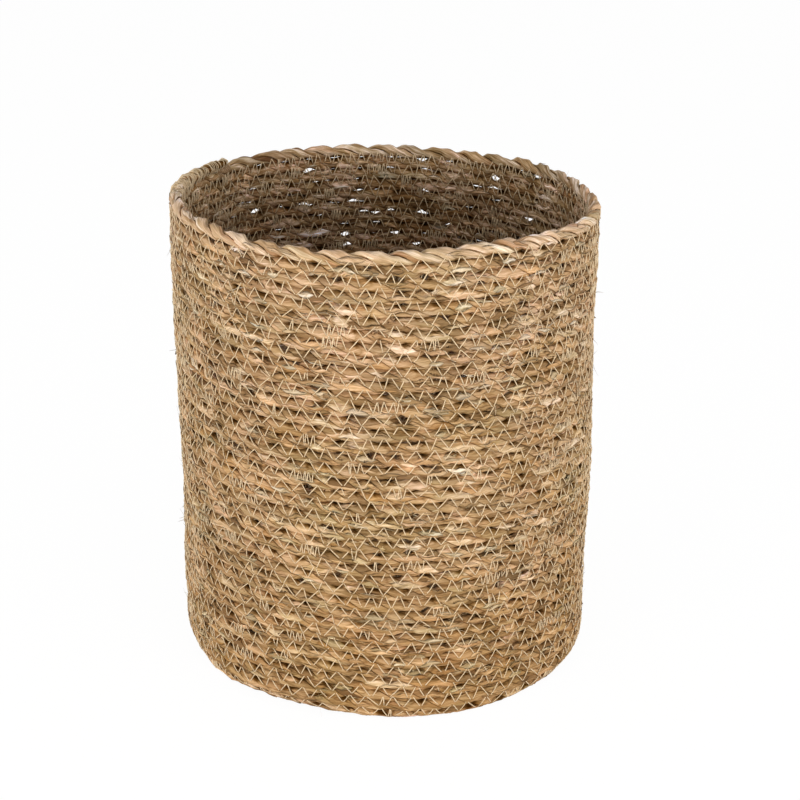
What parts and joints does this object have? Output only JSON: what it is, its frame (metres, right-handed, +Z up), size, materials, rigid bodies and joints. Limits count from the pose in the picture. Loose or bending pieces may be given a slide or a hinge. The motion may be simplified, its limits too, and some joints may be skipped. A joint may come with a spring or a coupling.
{
  "type": "coiled straw basket",
  "caption": "Round open basket of coiled seagrass cord: flat coiled base, rounded corner, upright wall and a thicker rim, sewn turn to turn with zigzag thread.",
  "frame": {"origin": "middle of the face the basket stands on", "axes": "+Z up along the basket's axis, -Y towards the viewer, +X to the viewer's right; the cord's end lies at the back left"},
  "size_m": [0.2401, 0.24, 0.272],
  "materials": {
    "base_cord": "dried seagrass cord, natural, matt",
    "wall_cord": "dried seagrass cord, natural, matt",
    "rim_cord": "dried seagrass cord, natural, faint sheen",
    "sewing_thread": "beige sewing thread"
  },
  "bodies": {
    "root": {"base_coil": "base_cord", "corner_coil": "base_cord", "wall_coil_lower": "wall_cord", "wall_coil_upper": "wall_cord", "rim_rope": "rim_cord", "rim_needle_thread": "sewing_thread", "rim_bobbin_thread": "sewing_thread", "tail_needle_thread": "sewing_thread", "tail_bobbin_thread": "sewing_thread"}
  },
  "joints": []
}
